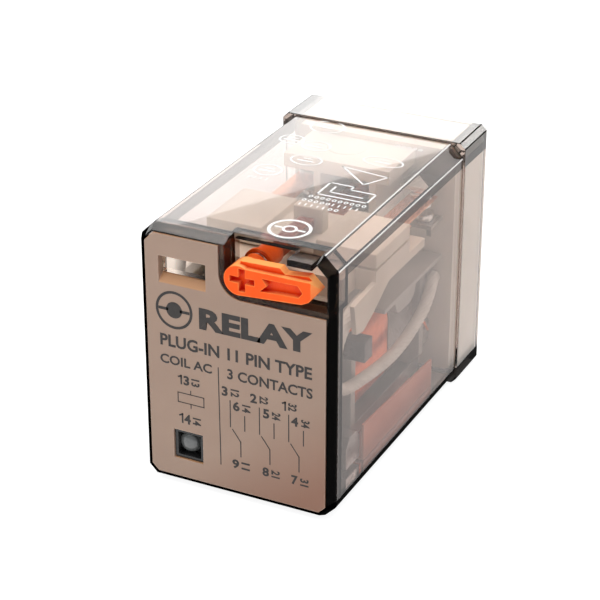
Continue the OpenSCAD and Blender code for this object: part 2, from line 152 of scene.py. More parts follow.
def product(tree, first, second):
    """A linked value times a second one."""
    return calculated(tree, "ShaderNodeMath", "MULTIPLY", first, second)


def blend_colour(tree, factor, first, second):
    """A colour between two, each linked or constant."""
    mix = tree.nodes.new("ShaderNodeMix")
    mix.data_type = "RGBA"
    for socket, value in ((mix.inputs[0], factor), (mix.inputs[6], first), (mix.inputs[7], second)):
        if isinstance(value, bpy.types.NodeSocket):
            tree.links.new(value, socket)
        else:
            socket.default_value = value if isinstance(value, float) else shade(value)
    return mix.outputs[2]


def edges(tree, add, radius):
    """0 on open faces and up to 1 along edges, from how far a bevel turns the normal."""
    round_normal = add("ShaderNodeBevel", Radius=radius * MM)
    round_normal.samples = 4
    flat_normal = add("ShaderNodeNewGeometry").outputs["Normal"]
    turned = dot_product(tree, round_normal.outputs[0], flat_normal)
    return spread(add, turned, 1.0, 0.0, 0.8, 0.99)


def along(tree, add, direction, start, end):
    """0 to 1 between two places along a direction, in mm of the row frame."""
    place = add("ShaderNodeTexCoord").outputs["Object"]
    return spread(add, dot_product(tree, place, direction), 0.0, 1.0, start * MM, end * MM)


def mixed(tree, factor, first, second):
    """A mix of two shaders by a linked or constant factor."""
    mix = tree.nodes.new("ShaderNodeMixShader")
    if isinstance(factor, float):
        mix.inputs[0].default_value = factor
    else:
        tree.links.new(factor, mix.inputs[0])
    tree.links.new(first.outputs[0], mix.inputs[1])
    tree.links.new(second.outputs[0], mix.inputs[2])
    return mix


def attribute(tree, name):
    """A value stored on a mesh's faces."""
    node = tree.nodes.new("ShaderNodeAttribute")
    node.attribute_name = name
    return node.outputs["Fac"]


ROUGH_SPREAD = 0.1  # how far the fine grain moves a finish's roughness either way


def solid(
    name, colour, second, rough, size=3.0, metal=0.0, grain=0.25, bump=0.15, depth=0.01,
    stretch=(1, 1, 1), wear_and_sheen=None, wear_and_sheen_radius=0.12, coat=0.0, under=0.0, ior=1.5,
    hollow_shade=None, hollow_shade_reach=0.7, shade_gradient=None, painted_glow=0.0, painted_lit_side=None,
):
    """An opaque finish: two close colours in soft patches, with fine grain in its gloss and its
    surface. Sizes are in mm.

    wear_and_sheen: the lighter colour along the edges, over wear_and_sheen_radius, partly rubbed edges and
    partly a painted highlight
    hollow: the darker colour in recesses, over hollow_shade_reach, which is painted shade
    fade: a direction, where painted shade starts and ends along it, and the darker colour it ends in
    upper: a direction, and the lighter colour of the faces that look that way, which is painted light
    under: how much light spreads under the surface
    glow: how much of its own colour it gives off, which is painted light as no lamp is in it
    """
    material, tree, add = graph(name)
    patches = spread(add, pattern(add, size, 3.0, stretch), 0.0, 1.0)
    fine = pattern(add, grain, 4.0, stretch, 0.6)
    base = blend_colour(tree, patches, colour, second)
    # Painted shade: the colour turns darker along a direction
    if shade_gradient:
        direction, start, end, shade_colour = shade_gradient
        base = blend_colour(tree, along(tree, add, direction, start, end), base, shade_colour)
    # Painted light: faces that look one way take a lighter colour
    if painted_lit_side:
        direction, lighter = painted_lit_side
        facing = dot_product(tree, add("ShaderNodeNewGeometry").outputs["Normal"], direction)
        base = blend_colour(tree, spread(add, facing, 0.0, 0.9, 0.15, 0.6), base, lighter)
    # The edges take a lighter colour in uneven patches: partly rubbed edges, partly a painted highlight
    if wear_and_sheen:
        uneven = spread(add, pattern(add, 0.8, 3.0), 0.15, 1.0)
        base = blend_colour(tree, product(tree, edges(tree, add, wear_and_sheen_radius), uneven), base, wear_and_sheen)
    # Painted shade: recesses take a darker colour, by how closed in they are
    if hollow_shade:
        depths = add("ShaderNodeAmbientOcclusion", Distance=hollow_shade_reach * MM)
        depths.samples = 6
        inside = spread(add, depths.outputs["AO"], 1.0, 0.0, 0.35, 0.95)
        base = blend_colour(tree, inside, base, hollow_shade)
    height = add("ShaderNodeBump", Strength=bump, Distance=depth * MM, Height=fine)
    shader = add(
        "ShaderNodeBsdfPrincipled", Base_Color=base, Metallic=metal, IOR=ior,
        Roughness=spread(add, fine, rough - ROUGH_SPREAD, rough + ROUGH_SPREAD),
        Normal=height.outputs[0],
    )
    shader.inputs["Coat Weight"].default_value = coat
    shader.inputs["Coat Roughness"].default_value = 0.12
    # Painted light: the finish gives off its own colour, though no lamp is in it
    if painted_glow:
        tree.links.new(base, shader.inputs["Emission Color"])
        shader.inputs["Emission Strength"].default_value = painted_glow
    if under:
        shader.inputs["Subsurface Weight"].default_value = under
        shader.inputs["Subsurface Radius"].default_value = (0.0012, 0.0007, 0.0004)
        shader.inputs["Subsurface Scale"].default_value = 1.0
    out = tree.nodes.new("ShaderNodeOutputMaterial")
    tree.links.new(shader.outputs[0], out.inputs[0])
    return material


def clear_plastic(name, tint, pale, rough):
    """Smoke-tinted clear moulding: true glass to the eye, and open to the lamps' rays.

    Marks on the mesh's faces change it: pale ones lose their smoke, dark ones turn black as painted
    shade, shine ones are bright white as a painted highlight, veil ones are hazy at a flat angle,
    pane ones darken to the right as painted shade and mirror ones throw the light back.
    """
    material, tree, add = graph(name)
    fine = pattern(add, 0.4, 3.0)
    waves = pattern(add, 9.0, 1.0)
    haze = spread(add, fine, rough * 0.5, rough * 1.5)
    height = add("ShaderNodeBump", Strength=0.12, Distance=0.02 * MM, Height=waves)
    patches = spread(add, pattern(add, 7.0, 2.0), 0.0, 1.0)
    colour = blend_colour(tree, patches, tint, tuple(c * 0.96 for c in tint))
    colour = blend_colour(tree, attribute(tree, "pale"), colour, pale)
    # Painted shade: the flag's window darkens to the right, where nothing stands close behind it
    window_shade = product(tree, along(tree, add, (1, 0, 0), -6.6, -3.6), attribute(tree, "pane"))
    colour = blend_colour(tree, window_shade, colour, (0.42, 0.4, 0.38))
    # Painted shade: dark faces turn black, as the clear walls' edges look where light turns back within them
    colour = blend_colour(tree, attribute(tree, "dark"), colour, (0.01, 0.01, 0.01))
    glass = add(
        "ShaderNodeBsdfGlass", Color=colour, Roughness=haze, IOR=1.33, Normal=height.outputs[0]
    )
    open_air = add("ShaderNodeBsdfTransparent", Color=colour)
    path = add("ShaderNodeLightPath")
    soft = add("ShaderNodeBsdfGlossy", Color=shade((1, 0.985, 0.96)), Roughness=0.22)
    at_flat_angle = add("ShaderNodeFresnel", IOR=1.65).outputs[0]
    hazy = mixed(tree, product(tree, at_flat_angle, attribute(tree, "veil")), glass, soft)
    clear = mixed(tree, path.outputs["Is Shadow Ray"], hazy, open_air)
    # Painted highlight: the marked edge faces turn mostly matt white, as lit edges look
    sheen = add("ShaderNodeBsdfGlossy", Color=shade((1, 0.97, 0.94)), Roughness=0.35)
    white = add("ShaderNodeBsdfDiffuse", Color=shade((1, 0.97, 0.94)))
    mix = mixed(tree, attribute(tree, "painted_highlight"), clear, mixed(tree, 0.75, sheen, white))
    # The underside throws the light back into the housing, as a thick clear floor does
    under = add("ShaderNodeBsdfGlossy", Color=shade((0.72, 0.68, 0.66)), Roughness=0.06)
    mix = mixed(tree, attribute(tree, "mirror"), mix, under)
    smoke = add("ShaderNodeVolumeAbsorption", Color=shade((0.4, 0.26, 0.18)), Density=240.0)
    out = tree.nodes.new("ShaderNodeOutputMaterial")
    tree.links.new(mix.outputs[0], out.inputs[0])
    tree.links.new(smoke.outputs[0], out.inputs["Volume"])
    return material


finish = {
    "clear_cover": clear_plastic("clear_cover", (0.93, 0.895, 0.88), (0.99, 0.985, 0.98), 0.02),
    # The label is painted lighter on its upward faces and darker towards its lower right, painted light and
    # shade; its lighter edges are partly a painted highlight
    "label_plastic": solid(
        "label_plastic", (0.365, 0.243, 0.18), (0.4, 0.27, 0.2), 0.42, size=6, grain=0.12,
        bump=0.25, depth=0.006, wear_and_sheen=(0.75, 0.58, 0.46), wear_and_sheen_radius=0.2, under=0.1,
        painted_lit_side=((0, 0, 1), (0.64, 0.33, 0.155)),
        shade_gradient=((0.6, 0, -0.8), 6.0, 14.0, (0.29, 0.14, 0.088)),
    ),
    "dark_plastic": solid(
        "dark_plastic", (0.012, 0.012, 0.013), (0.02, 0.02, 0.02), 0.2, wear_and_sheen=(0.09, 0.09, 0.09)
    ),
    "lamp_grey": solid(
        "lamp_grey", (0.17, 0.175, 0.17), (0.11, 0.115, 0.115), 0.16, size=1, coat=0.6,
        wear_and_sheen=(0.4, 0.4, 0.4),
    ),
    "base_plastic": solid(
        "base_plastic", (0.86, 0.81, 0.72), (0.9, 0.86, 0.78), 0.45, wear_and_sheen=(0.94, 0.91, 0.86),
        under=0.15,
    ),
    "bobbin_plastic": solid(
        "bobbin_plastic", (0.42, 0.4, 0.37), (0.48, 0.46, 0.43), 0.4, wear_and_sheen=(0.62, 0.6, 0.57)
    ),
    "carrier_plastic": solid(
        "carrier_plastic", (0.74, 0.66, 0.55), (0.8, 0.73, 0.62), 0.42, wear_and_sheen=(0.88, 0.83, 0.75),
        under=0.1,
    ),
    "enamelled_wire": solid(
        "enamelled_wire", (0.8, 0.16, 0.04), (0.95, 0.27, 0.1), 0.3, size=1.5, metal=0.6,
        grain=0.1, stretch=(1, 3, 1), wear_and_sheen=(0.95, 0.5, 0.3), coat=0.5,
    ),
    "tape": solid(
        "tape", (0.2, 0.17, 0.15), (0.27, 0.23, 0.2), 0.25, wear_and_sheen=(0.5, 0.42, 0.36), coat=0.4
    ),
    "insulator_sheet": solid(
        "insulator_sheet", (0.66, 0.2, 0.12), (0.74, 0.27, 0.17), 0.5, size=4, grain=0.1,
        wear_and_sheen=(0.85, 0.5, 0.4),
    ),
    "soft_iron": solid(
        "soft_iron", (0.4, 0.4, 0.41), (0.5, 0.5, 0.5), 0.34, metal=1.0, grain=0.1,
        stretch=(1, 1, 0.15), wear_and_sheen=(0.75, 0.75, 0.74),
    ),
    "copper": solid(
        "copper", (0.8, 0.3, 0.15), (0.62, 0.2, 0.09), 0.25, metal=1.0, wear_and_sheen=(0.95, 0.6, 0.4)
    ),
    "spring_steel": solid(
        "spring_steel", (0.55, 0.55, 0.54), (0.66, 0.65, 0.63), 0.28, metal=1.0, grain=0.08,
        stretch=(1, 0.1, 1), wear_and_sheen=(0.85, 0.85, 0.83),
    ),
    "spring_bronze": solid(
        "spring_bronze", (0.8, 0.3, 0.13), (0.88, 0.4, 0.2), 0.25, metal=0.9, grain=0.08,
        stretch=(1, 0.1, 1), wear_and_sheen=(0.9, 0.72, 0.48),
    ),
    "tinned_blade": solid(
        "tinned_blade", (0.58, 0.57, 0.54), (0.7, 0.69, 0.66), 0.3, metal=1.0, grain=0.1,
        stretch=(1, 0.15, 1), wear_and_sheen=(0.72, 0.5, 0.34), bump=0.3,
    ),
    "contact_silver": solid(
        "contact_silver", (0.78, 0.76, 0.73), (0.85, 0.84, 0.81), 0.2, metal=1.0, size=1,
        wear_and_sheen=(0.95, 0.94, 0.92),
    ),
    "lead_sleeve": solid(
        "lead_sleeve", (0.78, 0.75, 0.68), (0.86, 0.83, 0.76), 0.42, size=1.2, grain=0.15,
        bump=0.4, depth=0.02, wear_and_sheen=(0.92, 0.9, 0.86),
    ),
    # Painted shade in its recesses, painted light on the faces that look up and to the right, and a painted
    # glow
    "orange_plastic": solid(
        "orange_plastic", (0.95, 0.085, 0.0), (1.0, 0.11, 0.002), 0.34, size=3, grain=0.15,
        bump=0.2, depth=0.006, wear_and_sheen=(1.0, 0.4, 0.1), wear_and_sheen_radius=0.2,
        hollow_shade=(0.6, 0.006, 0.0), hollow_shade_reach=1.0, ior=1.3, painted_glow=0.1,
        painted_lit_side=((0.5, 0, 0.87), (1.0, 0.42, 0.12)),
    ),
    # Painted shade: the shaft darkens towards the back, inside the housing
    "orange_shaft": solid(
        "orange_shaft", (0.9, 0.1, 0.0), (1.0, 0.15, 0.005), 0.34, size=2, grain=0.15,
        bump=0.2, depth=0.006, wear_and_sheen=(1.0, 0.42, 0.12), wear_and_sheen_radius=0.16, ior=1.3,
        shade_gradient=((0, 1, 0), -31.0, -29.5, (0.25, 0.05, 0.02)),
    ),
    # Painted shade: darker on its right part; and a painted glow, as no lamp is in it
    "flag_plastic": solid(
        "flag_plastic", (0.95, 0.9, 0.82), (1.0, 0.96, 0.89), 0.4, wear_and_sheen=(1.0, 0.97, 0.92),
        shade_gradient=((1, 0, 0), -8.1, -6.9, (0.2, 0.18, 0.16)), painted_glow=0.95,
    ),
    "label_ink": solid(
        "label_ink", (0.02, 0.016, 0.015), (0.035, 0.028, 0.025), 0.55, size=0.8, grain=0.06,
        bump=0.4, depth=0.004, wear_and_sheen=(0.12, 0.1, 0.09), wear_and_sheen_radius=0.03,
    ),
    "white_ink": solid(
        "white_ink", (0.9, 0.88, 0.86), (0.98, 0.97, 0.95), 0.4, size=0.8, grain=0.06,
        wear_and_sheen=(0.8, 0.78, 0.75), wear_and_sheen_radius=0.03,
    ),
}

slot_of = {row["node"]: row["material_slot"] for row in frame["record"]["subparts"]}
for name, node in nodes.items():
    node.data.materials.clear()
    node.data.materials.append(finish[slot_of[name]])


# ---------------------------------------------------------------- shapes


def keep(mesh, name, body, material):
    """Adds a finished mesh as a piece that rides on a CAD body."""
    piece = bpy.data.objects.new(name, mesh)
    bpy.context.scene.collection.objects.link(piece)
    mesh.materials.clear()
    mesh.materials.append(finish[material])
    if body:
        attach(piece, body)
    return piece


def body_of(node):
    """The body of the record that a node belongs to."""
    bodies = frame["record"]["behaviour"]["bodies"]
    return next(body for body, members in bodies.items() if node in members)


def cad_form(node):
    """A node's CAD shape to work on, without double points and seams between flat faces."""
    form = bmesh.new()
    form.from_mesh(nodes[node].data)
    bmesh.ops.remove_doubles(form, verts=form.verts, dist=0.002 * MM)
    bmesh.ops.dissolve_limit(
        form, angle_limit=math.radians(0.8), verts=form.verts, edges=form.edges
    )
    return form


def finished(form, name):
    """The mesh of a form that needs no more work."""
    mesh = bpy.data.meshes.new(name)
    form.to_mesh(mesh)
    form.free()
    return mesh


def skin(name, rings, closed=False, smooth="sides"):
    """A mesh through rings of points. An open run gets caps, and a closed one meets itself.
    Smooth says which faces are shaded round: the sides, all or none."""
    form = bmesh.new()
    made = [[form.verts.new(p) for p in ring] for ring in rings]
    for near, far in zip(made, made[1:] + made[:1] if closed else made[1:]):
        for k in range(len(near)):
            n = (k + 1) % len(near)
            form.faces.new((near[k], near[n], far[n], far[k]))
    if not closed:
        form.faces.new(made[0])
        form.faces.new(list(reversed(made[-1])))
    bmesh.ops.recalc_face_normals(form, faces=form.faces)
    mesh = finished(form, name)
    for face in mesh.polygons:
        face.use_smooth = smooth == "all" or smooth == "sides" and len(face.vertices) == 4
    return mesh


SHARP = math.radians(30)  # an edge that turns more than this is rounded
HUB, CROSS = (0.75, 24), (1.13, 24.08)  # the middles of the lever's hub and of its cross recess


def broader_cross(form):
    """The lever's cross recess sits a little right of the hub's middle, and is broad."""
    for vertex in form.verts:
        x, depth, height = drawn(vertex.co)
        u, v = x - HUB[0], height - HUB[1]
        arm = max(abs(u), abs(v)) < 1.17 and min(abs(u), abs(v)) < 0.32
        if arm and depth < 0.3:
            vertex.co = at(CROSS[0] + u * 1.12, depth, CROSS[1] + v)


def softened(node, width):
    """A new piece in a node's place: its shape with every sharp edge rounded."""
    form = cad_form(node)
    if node == "test_lever":
        broader_cross(form)
    mesh = finished(form, node + "_shape")
    look = "orange_shaft" if node == "test_plunger" else slot_of[node]
    piece = keep(mesh, node + "_rounded", body_of(node), look)
    bevel = piece.modifiers.new("edges", "BEVEL")
    bevel.width = width * MM
    bevel.segments = 2
    bevel.limit_method = "ANGLE"
    bevel.angle_limit = SHARP
    bevel.use_clamp_overlap = True
    for face in mesh.polygons:
        face.use_smooth = True
    weighted = piece.modifiers.new("normals", "WEIGHTED_NORMAL")
    weighted.weight = 100
    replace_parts(piece, node)


for node, width in {
    "label_plate": 0.08, "lamp_surround": 0.05,
    "base": 0.1, "contact_separator": 0.1, "coil_bobbin": 0.12, "core": 0.08, "yoke": 0.12,
    "armature": 0.1, "armature_rivets": 0.1, "contact_carrier": 0.15, "spring_clamp": 0.15,
    "lamp_circuit": 0.12,
    "indicator_flag": 0.08, "test_lever": 0.14, "test_plunger": 0.1, "rest_contacts": 0.15,
    "work_contacts": 0.15, "moving_contact_1": 0.15, "moving_contact_2": 0.15,
    "moving_contact_3": 0.15,
}.items():
    softened(node, width)


# Places in the cover, in mm of the drawing frame
# The dark strips are painted shade, black along the cover's bottom and beside the front
BOTTOM_STRIP, FRONT_STRIP = 1.95, 1.2  # how far the dark strips reach up, and back
FRONT_SIDE, FRONT_FOOT = 9.2, 2.2  # where the front's rim begins beside and below the label
FRONT_END, COLLAR_START = 2.7, 30.5  # depths where the front ends and the collar begins
TOP, UNDERSIDE, SIDE = 26.9, 0.8, 9.7  # what lies past these is outside


def cover_marks(face, edge):
    """What a face of the cover is marked with, from its place and whether it rounds an edge. The
    dark marks are painted shade, black where light turns back within the clear walls, and the shine
    marks are painted highlights.
    """
    x, depth, height = drawn(face.calc_center_median())
    outer = abs(x) > SIDE or height > TOP or height < UNDERSIDE
    marks = {}
    if face.normal.z > 0.6 and height > TOP and not edge:
        marks["veil"] = 1.0
    if depth > COLLAR_START:
        marks["pale"] = 1.0
        if height < BOTTOM_STRIP:
            marks["dark"] = 0.95
        elif abs(face.normal.x) > 0.5 and face.normal.z < -0.5:
            marks["dark"] = 0.6
        elif edge and (height > TOP or depth > 36):
            marks["dark"] = 0.97
        elif edge and x < -9.5:
            marks["dark"] = 0.8
    elif (
        WINDOW_X[0] < x < WINDOW_X[1] and WINDOW_HEIGHT[0] < height < WINDOW_HEIGHT[1]
        and depth < FRONT_END
    ):
        marks["pale"] = marks["pane"] = 1.0
    elif depth < FRONT_STRIP and (abs(x) > FRONT_SIDE or height < FRONT_FOOT):
        marks["dark"] = 0.9 if x > FRONT_SIDE and height > FRONT_FOOT else 1.0
    elif depth < FRONT_END:
        marks["dark"] = 1.0 if edge else 0.38
    elif height < 1.7 and face.normal.z > 0.6:  # the floor's inner face
        marks["mirror"] = 1.0
    elif height < BOTTOM_STRIP and (outer or edge):
        marks["dark"] = 0.97
    # Painted shade: the ribs' faces turn dark
    elif abs(x) > 7.6 and height > 24.6 and 22.5 < depth < 30.7 and not outer:  # the ribs
        marks["dark"] = 0.8
    # Painted highlight along the chamfer at the right of the top
    elif edge and outer and height > 25 and x > 8:  # the chamfer at the right of the top
        marks["painted_highlight"] = 0.85
    elif edge and outer:
        marks["dark"] = 0.6
    return marks


def clear_shell(width):
    """The cover's new piece: flat faces, rounded edges, and marks that steer its material."""
    form = cad_form("cover")
    names = ("dark", "pale", "painted_highlight", "veil", "pane", "mirror", "round")
    for name in names:
        form.faces.layers.float.new(name)
    marks = {name: form.faces.layers.float[name] for name in names}
    # The edges behind the front that are long enough to take the width without crossing
    sharp = [
        e for e in form.edges
        if len(e.link_faces) == 2 and e.calc_face_angle(0.0) > SHARP
        and min(near.calc_length() for v in e.verts for near in v.link_edges) > 3 * width * MM
        and max(v.co.y for v in e.verts) / MM + SEAT > 5 and e.calc_length() > 1.2 * MM
    ]
    rounded = bmesh.ops.bevel(
        form, geom=sharp, offset=width * MM, segments=2, profile=0.5, affect="EDGES",
        clamp_overlap=False,
    )["faces"]
    for face in rounded:
        face[marks["round"]] = 1.0
    # Cuts that let the strips and the flag's window be marked by themselves
    cuts = [(at(0, 0, BOTTOM_STRIP), (0, 0, 1)), (at(0, FRONT_STRIP, 0), (0, 1, 0))]
    cuts += [(at(x, 0, 0), (1, 0, 0)) for x in WINDOW_X]
    cuts += [(at(0, 0, height), (0, 0, 1)) for height in WINDOW_HEIGHT]
    for point, normal in cuts:
        everything = form.verts[:] + form.edges[:] + form.faces[:]
        bmesh.ops.bisect_plane(form, geom=everything, dist=1e-7, plane_co=point, plane_no=normal)
    for face in form.faces:
        face.smooth = False
        for mark, value in cover_marks(face, face[marks["round"]] > 0.5).items():
            face[marks[mark]] = value
    mesh = finished(form, "cover_shape")
    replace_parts(keep(mesh, "cover_rounded", body_of("cover"), slot_of["cover"]), "cover")


clear_shell(0.08)


def lathed(name, x, height, profile, steps=40):
    """A closed round piece about an axis along the depth, from its depth and radius pairs."""
    angles = [2 * math.pi * k / steps for k in range(steps)]
    return skin(name, [
        [at(x + radius * math.cos(a), depth, height + radius * math.sin(a)) for a in angles]
        for depth, radius in profile
    ], smooth="all")


# Lamp: a domed lens over its flange
LENS_X, LENS_HEIGHT = -5.7, 4.4
LENS_FRONT, LENS_RISE, LENS_RADIUS = 0.62, 0.5, 1.06
slopes = [math.radians(4 + 8.6 * k) for k in range(11)]
dome = [
    (LENS_FRONT + LENS_RISE * (1 - math.cos(a)), LENS_RADIUS * math.sin(a)) for a in slopes
]
flange = [(1.2, LENS_RADIUS), (1.22, 1.15), (1.45, 1.15), (1.49, 1.1)]
lens = lathed("lens", LENS_X, LENS_HEIGHT, dome + flange)
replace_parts(keep(lens, "domed_lamp", body_of("indicator_lamp"), "lamp_grey"), "indicator_lamp")


def bent_leaf():
    """The return spring's leaf, cut fine enough to bend."""
    (left, front, low), (right, back, top) = drawn_box("return_spring")
    half = (right - left) / 2
    sheet, turn, step = 0.13, 0.3, 0.9  # its thickness, the bend's radius, the cuts' distance
    path = [(back - step * k, low, 0.0) for k in range(int((back - front - turn) / step) + 1)]
    for k in range(7):
        a = math.pi / 2 * k / 6
        path.append((front + turn - turn * math.sin(a), low + turn - turn * math.cos(a), a))
    rise = (top - low - turn) / 8
    path += [(front, low + turn + rise * k, math.pi / 2) for k in range(1, 9)]
    rings = []
    for depth, height, a in path:
        inner = (depth + sheet * math.sin(a), height + sheet * math.cos(a))
        rings.append([
            at(-half, depth, height), at(half, depth, height), at(half, *inner), at(-half, *inner)
        ])
    leaf = keep(skin("leaf", rings, smooth="none"), "bent_return_spring", None, "spring_steel")
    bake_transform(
        leaf, "housing", "armature_group", start=at(0, front, low + 0.5), end=at(0, front, top)
    )
    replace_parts(leaf, "return_spring")


bent_leaf()

for side in (1, 2, 3):
    for kind in ("rest", "work", "common"):
        softened(f"{kind}_terminal_{side}", 0.06)
for side in (1, 2):
    softened(f"coil_terminal_{side}", 0.06)


COIL_HEIGHT = 9  # of the coil's axis


def section(depth, half, high, corner, lift, steps=8):
    """A ring of the coil's section: a rectangle round its axis with rounded corners, in mm."""
    ring = []
    for quarter, (sx, sz) in enumerate(((1, 1), (-1, 1), (-1, -1), (1, -1))):
        for k in range(steps + 1):
            a = math.pi / 2 * (quarter + k / steps)
            x = sx * (half - corner) + (corner + lift) * math.cos(a)
            z = sz * (high - corner) + (corner + lift) * math.sin(a)
            ring.append(at(x, depth, COIL_HEIGHT + z))
    return ring


def winding():
    """Copper winding, closed round its bore: every turn of the outer layer is a ridge."""
    (left, front, low), (right, back, top) = drawn_box("coil_winding")
    wire = 0.32
    turns = int((back - front) / wire)
    pitch = (back - front) / turns
    # The bore fits the bobbin's tube, and each turn bulges by the lifts along its own pitch
    rings = [section(depth, 4.1, 3.6, 1.6, 0.06) for depth in (front, back)]
    for k in range(turns):
        for step, lift in ((0.06, -0.09), (0.28, -0.02), (0.5, 0.0), (0.72, -0.02), (0.94, -0.09)):
            depth = back - (k + step) * pitch
            rings.append(section(depth, (right - left) / 2, (top - low) / 2, 3, lift))
    mesh = skin("winding", rings, closed=True)
    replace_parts(keep(mesh, "copper_winding", "housing", "enamelled_wire"), "coil_winding")


winding()


def smooth(route, t):
    """A point of the curve that the CAD draws through a route."""
    last = len(route) - 1
    i = min(int(t), last - 1)
    u = t - i
    a, b, c, d = (Vector(route[k]) for k in (max(i - 1, 0), i, i + 1, min(i + 2, last)))
    return 0.5 * (
        2 * b + (c - a) * u + (2 * a - 5 * b + 4 * c - d) * u * u
        + (3 * b - a - 3 * c + d) * u * u * u
    )


def braid(name, route, mirrored, radius, lobes, twist, steps):
    """A lead of twisted strands along a route of depth, height and sideways place in mm. Twist
    is in radians for each mm of the lead, and steps are the rings between two route points."""
    count = (len(route) - 1) * steps
    path = []
    for i in range(count + 1):
        p = smooth(route, i / steps)
        path.append(at(mirrored * p[2], p[0], p[1]))
    sides, groove = lobes * 4, 0.07
    rings, run = [], 0.0
    for i, centre in enumerate(path):
        ahead = (path[min(i + 1, count)] - path[max(i - 1, 0)]).normalized()
        up = ahead.cross(Vector((1, 0, 0))).normalized()
        aside = up.cross(ahead)
        if i:
            run += (centre - path[i - 1]).length / MM
        ring = []
        for k in range(sides):
            a = 2 * math.pi * k / sides
            swell = 0.5 + 0.5 * math.cos(lobes * a)
            r = (radius - groove + groove * swell) * MM
            b = a + run * twist
            ring.append(centre + (aside * math.cos(b) + up * math.sin(b)) * r)
        rings.append(ring)
    return skin(name, rings)


side_lead = [
    (12, 18.65, 7.6), (8.8, 18.2, 7.6), (6, 16.7, 7.65), (4.6, 14.4, 7.7), (4.9, 12.2, 7.75),
    (7, 10.7, 7.75), (11, 9.8, 7.75), (15, 9.2, 7.75), (18.3, 8.95, 7.75),
    (21.2, 9.15, 7.75), (23.7, 9.65, 7.75), (25.8, 10.35, 7.75), (27.2, 11.3, 7.75),
    (28.4, 12.3, 7.65), (29.5, 12.7, 7.35), (30.4, 12.3, 7.15),
]
middle_lead = [
    (12, 18.6, 0), (13.9, 17.7, 0), (16.8, 16.8, 0), (20.5, 16.3, 0), (24.5, 16.1, 0),
    (27.6, 16, 0), (29.4, 15.3, 0), (30, 14.3, 0), (30.05, 13.5, 0),
]
for number, route, mirrored in ((1, side_lead, -1), (2, middle_lead, 1), (3, side_lead, 1)):
    mesh = braid(f"lead_{number}", route, mirrored, radius=0.65, lobes=9, twist=0.9, steps=8)
    lead = keep(mesh, f"braided_lead_{number}", None, "lead_sleeve")
    x = mirrored * route[0][2]
    # Still where the base holds it, and carried where the contact carrier does
    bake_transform(lead, "housing", "armature_group", start=at(x, 30.2, 12.2), end=at(x, 12, 18.65))
    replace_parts(lead, f"flexible_lead_{number}")


# ---------------------------------------------------------------- printed marks


INK = 0.008  # half the printed ink's thickness
LABEL_FACE, TOP_FACE = 0.05, 27.5  # the label's depth and the top's height


def flat_mesh(curve):
    """The mesh that a curve or a text makes."""
    holder = bpy.data.objects.new("patch", curve)
    bpy.context.scene.collection.objects.link(holder)
    seen = holder.evaluated_get(bpy.context.evaluated_depsgraph_get())
    mesh = bpy.data.meshes.new_from_object(seen)
    bpy.data.objects.remove(holder)
    return mesh


class Print:
    """Thin raised ink on a flat face, gathered into one mesh."""

    def __init__(self, place):
        self.form = bmesh.new()
        self.place = place  # turns (across, up, out) in mm into a point

    def sheet(self, outline, holes=()):
        """A flat patch with its outline, as across and up pairs, and a little thickness."""
        curve = bpy.data.curves.new("patch", "CURVE")
        curve.dimensions = "2D"
        curve.fill_mode = "BOTH"
        for ring in (outline, *holes):
            line = curve.splines.new("POLY")
            line.points.add(len(ring) - 1)
            for point, (u, v) in zip(line.points, ring):
                point.co = (u, v, 0, 1)
            line.use_cyclic_u = True
        self.take(curve)

    def take(self, curve, change=None):
        """Adds a curve or a text, thickened and put in its place."""
        curve.extrude = INK
        mesh = flat_mesh(curve)
        for vertex in mesh.vertices:
            u, v, w = vertex.co
            if change:
                u, v = change(u, v)
            vertex.co = self.place(u, v, w + INK)
        self.form.from_mesh(mesh)
        bpy.data.meshes.remove(mesh)

    def line(self, points, width):
        """A stroke of one width through the points."""
        for (a, b), (c, d) in zip(points, points[1:]):
            ahead = Vector((c - a, d - b)).normalized() * width / 2
            side = Vector((-ahead.y, ahead.x))
            start, end = Vector((a, b)) - ahead, Vector((c, d)) + ahead
            self.sheet([tuple(p) for p in (start + side, end + side, end - side, start - side)])

    def ring(self, u, v, ru, rv, width, steps=48):
        """An oval stroke inside two radii, or a filled oval where its width is 0."""
        angles = [2 * math.pi * k / steps for k in range(steps)]

        def oval(a, b):
            return [(u + a * math.cos(t), v + b * math.sin(t)) for t in angles]

        self.sheet(oval(ru, rv), [oval(ru - width, rv - width)] if width else ())

    def text(self, words, left, right, low, high, bold=0.0, turn=False):
        """Plain lettering, fitted to a box. Turned lettering reads downwards."""
        curve = bpy.data.curves.new("text", "FONT")
        curve.body = words
        curve.resolution_u = 3
        curve.offset = bold
        mesh = flat_mesh(curve)
        us = [p.co.x for p in mesh.vertices]
        vs = [p.co.y for p in mesh.vertices]
        bpy.data.meshes.remove(mesh)
        u0, u1, v0, v1 = min(us), max(us), min(vs), max(vs)

        def fit(u, v):
            s, t = (u - u0) / (u1 - u0), (v - v0) / (v1 - v0)
            if turn:
                s, t = t, 1 - s
            return left + s * (right - left), low + t * (high - low)

        self.take(curve, fit)

    def one(self, right, low, high, width):
        """A figure one, as a stem with a flag."""
        drop = (high - low) * 0.22
        self.line([(right, high - width / 2), (right, low + width / 2)], width)
        self.line([(right - drop * 1.2, high - drop), (right, high - width / 2)], width)

    def done(self, name, ink):
        """The piece made of all that was printed."""
        bmesh.ops.remove_doubles(self.form, verts=self.form.verts, dist=0.0005 * MM)
        bmesh.ops.recalc_face_normals(self.form, faces=self.form.faces)
        keep(finished(self.form, name), name, "housing", ink)


def on_label(u, v, w):
    """The label's face: across, up and out of it."""
    return at(u, LABEL_FACE - w, v)


def on_top(u, v, w):
    """The cover's top face: across, back and out of it."""
    return at(u, v, TOP_FACE + w)


name_mark = Print(on_label)
name_mark.text("RELAY", -3.75, 8.05, 17.75, 20.0, bold=0.045)
name_mark.done("printed_type_word", "label_ink")

